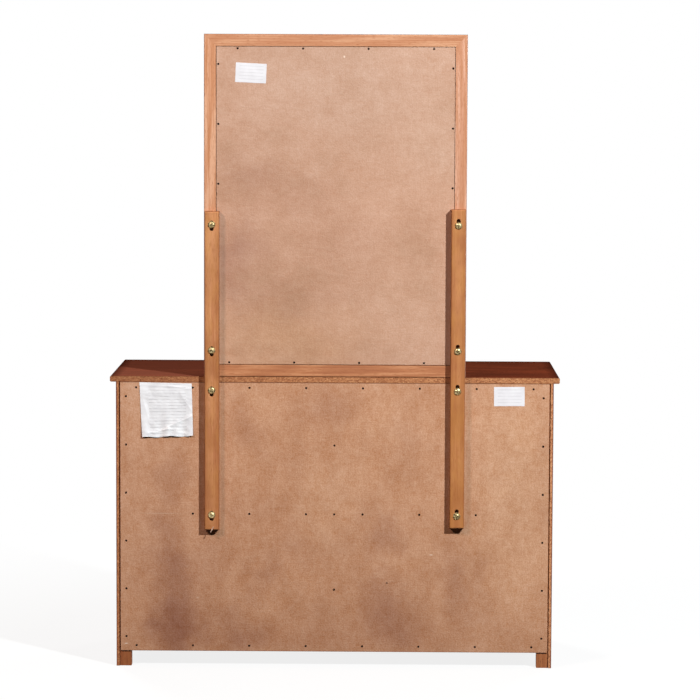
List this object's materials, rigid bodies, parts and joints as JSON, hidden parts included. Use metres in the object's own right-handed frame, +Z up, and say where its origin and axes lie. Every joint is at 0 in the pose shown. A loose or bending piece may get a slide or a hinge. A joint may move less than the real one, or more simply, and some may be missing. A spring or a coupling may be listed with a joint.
{
  "type": "dresser with mirror",
  "caption": "Low chest of drawers with a framed upright mirror standing on the rear edge of its top, held by slotted supports screwed to the backs of both.",
  "frame": {"origin": "on the floor, under the middle of the whole dresser's box", "axes": "+Z up, +X to the right as seen from the front, the drawers open towards -Y"},
  "size_m": [1.22, 0.4753, 1.722],
  "materials": {
    "stained_wood": "reddish-brown stain, satin",
    "frame_wood": "light brown wood, sanded",
    "plain_wood": "bare wood, sanded",
    "hardboard": "smooth hardboard",
    "brass": "bright brass plate",
    "dark_steel": "dark nails",
    "mirror": "silvered float glass"
  },
  "bodies": {
    "case": {"back_bottom_rail": "plain_wood", "back_middle_rail": "plain_wood", "back_panel": "hardboard", "back_panel_nails": "dark_steel", "back_top_rail": "plain_wood", "case_screws": "brass", "centre_partition": "plain_wood", "drawer_runners": "plain_wood", "drawer_stops": "plain_wood", "front_bottom_rail": "stained_wood", "front_middle_rails": "stained_wood", "front_mullion": "stained_wood", "front_post_left": "stained_wood", "front_post_right": "stained_wood", "front_top_rail": "stained_wood", "rear_post_left": "plain_wood", "rear_post_right": "plain_wood", "side_panel_left": "stained_wood", "side_panel_right": "stained_wood", "top_board": "stained_wood"},
    "supports": {"support_left": "frame_wood", "support_right": "frame_wood"},
    "mirror": {"mirror_backing": "hardboard", "mirror_backing_nails": "dark_steel", "mirror_frame_bottom": "frame_wood", "mirror_frame_left": "frame_wood", "mirror_frame_right": "frame_wood", "mirror_frame_top": "frame_wood", "mirror_glass": "mirror", "mirror_screws": "brass"},
    "drawer_bottom_left": {"drawer_bottom_left_back": "plain_wood", "drawer_bottom_left_bottom": "hardboard", "drawer_bottom_left_front": "stained_wood", "drawer_bottom_left_knobs": "brass", "drawer_bottom_left_sides": "plain_wood"},
    "drawer_middle_left": {"drawer_middle_left_back": "plain_wood", "drawer_middle_left_bottom": "hardboard", "drawer_middle_left_front": "stained_wood", "drawer_middle_left_knobs": "brass", "drawer_middle_left_sides": "plain_wood"},
    "drawer_top_left": {"drawer_top_left_back": "plain_wood", "drawer_top_left_bottom": "hardboard", "drawer_top_left_front": "stained_wood", "drawer_top_left_knobs": "brass", "drawer_top_left_sides": "plain_wood"},
    "drawer_bottom_right": {"drawer_bottom_right_back": "plain_wood", "drawer_bottom_right_bottom": "hardboard", "drawer_bottom_right_front": "stained_wood", "drawer_bottom_right_knobs": "brass", "drawer_bottom_right_sides": "plain_wood"},
    "drawer_middle_right": {"drawer_middle_right_back": "plain_wood", "drawer_middle_right_bottom": "hardboard", "drawer_middle_right_front": "stained_wood", "drawer_middle_right_knobs": "brass", "drawer_middle_right_sides": "plain_wood"},
    "drawer_top_right": {"drawer_top_right_back": "plain_wood", "drawer_top_right_bottom": "hardboard", "drawer_top_right_front": "stained_wood", "drawer_top_right_knobs": "brass", "drawer_top_right_sides": "plain_wood"}
  },
  "joints": [
    {"name": "support_height", "type": "slide", "parent": "case", "child": "supports", "axis": [0, 0, 1], "range_m": [0, 0.006]},
    {"name": "mirror_height", "type": "slide", "parent": "supports", "child": "mirror", "axis": [0, 0, 1], "range_m": [0, 0.006]},
    {"name": "drawer_bottom_left_slide", "type": "slide", "parent": "case", "child": "drawer_bottom_left", "axis": [0, -1, 0], "range_m": [0, 0.32]},
    {"name": "drawer_middle_left_slide", "type": "slide", "parent": "case", "child": "drawer_middle_left", "axis": [0, -1, 0], "range_m": [0, 0.32]},
    {"name": "drawer_top_left_slide", "type": "slide", "parent": "case", "child": "drawer_top_left", "axis": [0, -1, 0], "range_m": [0, 0.32]},
    {"name": "drawer_bottom_right_slide", "type": "slide", "parent": "case", "child": "drawer_bottom_right", "axis": [0, -1, 0], "range_m": [0, 0.32]},
    {"name": "drawer_middle_right_slide", "type": "slide", "parent": "case", "child": "drawer_middle_right", "axis": [0, -1, 0], "range_m": [0, 0.32]},
    {"name": "drawer_top_right_slide", "type": "slide", "parent": "case", "child": "drawer_top_right", "axis": [0, -1, 0], "range_m": [0, 0.32]}
  ]
}
